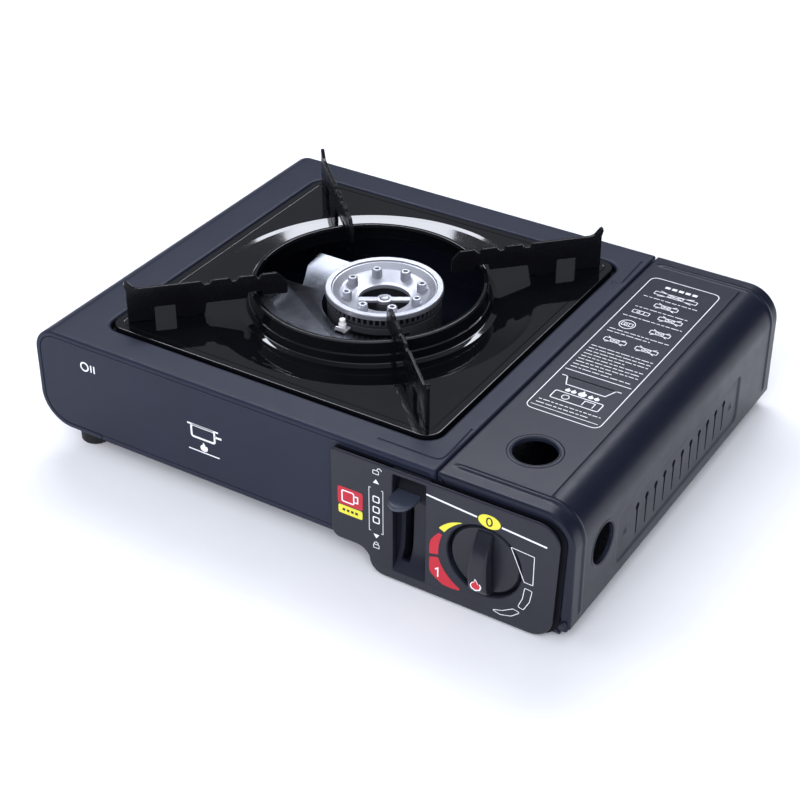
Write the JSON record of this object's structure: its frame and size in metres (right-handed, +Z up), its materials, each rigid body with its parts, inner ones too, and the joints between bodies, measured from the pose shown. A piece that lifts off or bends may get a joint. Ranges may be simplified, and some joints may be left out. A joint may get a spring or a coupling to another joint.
{
  "type": "portable gas stove",
  "caption": "Portable single-burner cassette stove: sheet case, drip tray with pan supports, burner, and a hinged lid over the cartridge bay.",
  "frame": {"origin": "centre of the stove's bounding footprint, on the surface that it stands on", "axes": "+X along the length towards the cartridge bay, +Y to the back, +Z up"},
  "size_m": [0.34, 0.271, 0.1039],
  "materials": {
    "case_paint": "satin charcoal powder coat",
    "enamel": "glossy black vitreous enamel",
    "cast_aluminium": "satin machined casting",
    "dark_steel": "blackened",
    "steel": "zinc plated",
    "polished_steel": "bright rolled sheet",
    "white_ceramic": "glazed",
    "brass": "turned",
    "panel_plastic": "fine moulded texture",
    "knob_plastic": "satin moulded",
    "lever_plastic": "smooth moulded",
    "lead_insulation": "silicone sleeve",
    "foot_rubber": "matt black rubber"
  },
  "bodies": {
    "case": {"body_shell": "case_paint", "front_plate": "case_paint", "back_plate": "case_paint", "base_pan": "case_paint", "bay_divider": "steel", "hinge_pin_front": "steel", "hinge_pin_back": "steel", "burner_head": "cast_aluminium", "burner_port_ring": "dark_steel", "burner_base": "dark_steel", "burner_screw": "steel", "burner_bracket": "steel", "heat_shield": "polished_steel", "electrode_bracket": "steel", "spark_electrode": "white_ceramic", "mixing_tube": "steel", "gas_jet": "brass", "gas_pipe": "brass", "control_panel": "panel_plastic", "piezo_igniter": "knob_plastic", "ignition_lead": "lead_insulation", "regulator_body": "cast_aluminium", "regulator_socket": "brass", "cartridge_guide": "steel", "cartridge_saddle": "steel", "lever_bracket": "steel", "foot_left_front": "foot_rubber", "foot_left_back": "foot_rubber", "foot_right_front": "foot_rubber", "foot_right_back": "foot_rubber", "foot_screw_left_front": "steel", "foot_screw_left_back": "steel", "foot_screw_right_front": "steel", "foot_screw_right_back": "steel"},
    "lid": {"cartridge_lid": "case_paint"},
    "trivet": {"drip_tray": "enamel", "pan_support_1": "enamel", "pan_support_2": "enamel", "pan_support_3": "enamel", "pan_support_4": "enamel"},
    "knob": {"control_knob": "knob_plastic", "valve_shaft": "brass"},
    "plunger": {"igniter_plunger": "steel"},
    "lever": {"lock_lever": "lever_plastic", "lever_shaft": "steel"},
    "pusher": {"cartridge_pusher": "steel"}
  },
  "joints": [
    {"name": "lid_hinge", "type": "hinge", "parent": "case", "child": "lid", "pos_m": [0.1655, 0.0075, 0.01], "axis": [0, 1, 0], "range_deg": [0, 90]},
    {"name": "trivet_lift", "type": "slide", "parent": "case", "child": "trivet", "axis": [0, 0, 1], "range_m": [0, 0.06]},
    {"name": "knob_turn", "type": "hinge", "parent": "case", "child": "knob", "pos_m": [0.1225, -0.12, 0.036], "axis": [0, -1, 0], "range_deg": [0, 150]},
    {"name": "plunger_slide", "type": "slide", "parent": "case", "child": "plunger", "axis": [0, 0, 1], "range_m": [0, 0.005]},
    {"name": "lever_turn", "type": "hinge", "parent": "case", "child": "lever", "pos_m": [0.076, -0.078, 0.0385], "axis": [1, 0, 0], "range_deg": [0, 44]},
    {"name": "pusher_slide", "type": "slide", "parent": "case", "child": "pusher", "axis": [0, -1, 0], "range_m": [0, 0.009]}
  ],
  "couplings": [
    {"joint": "plunger_slide", "follows": "knob_turn", "m_per_rad": 0.001909},
    {"joint": "pusher_slide", "follows": "lever_turn", "m_per_rad": 0.0117}
  ]
}
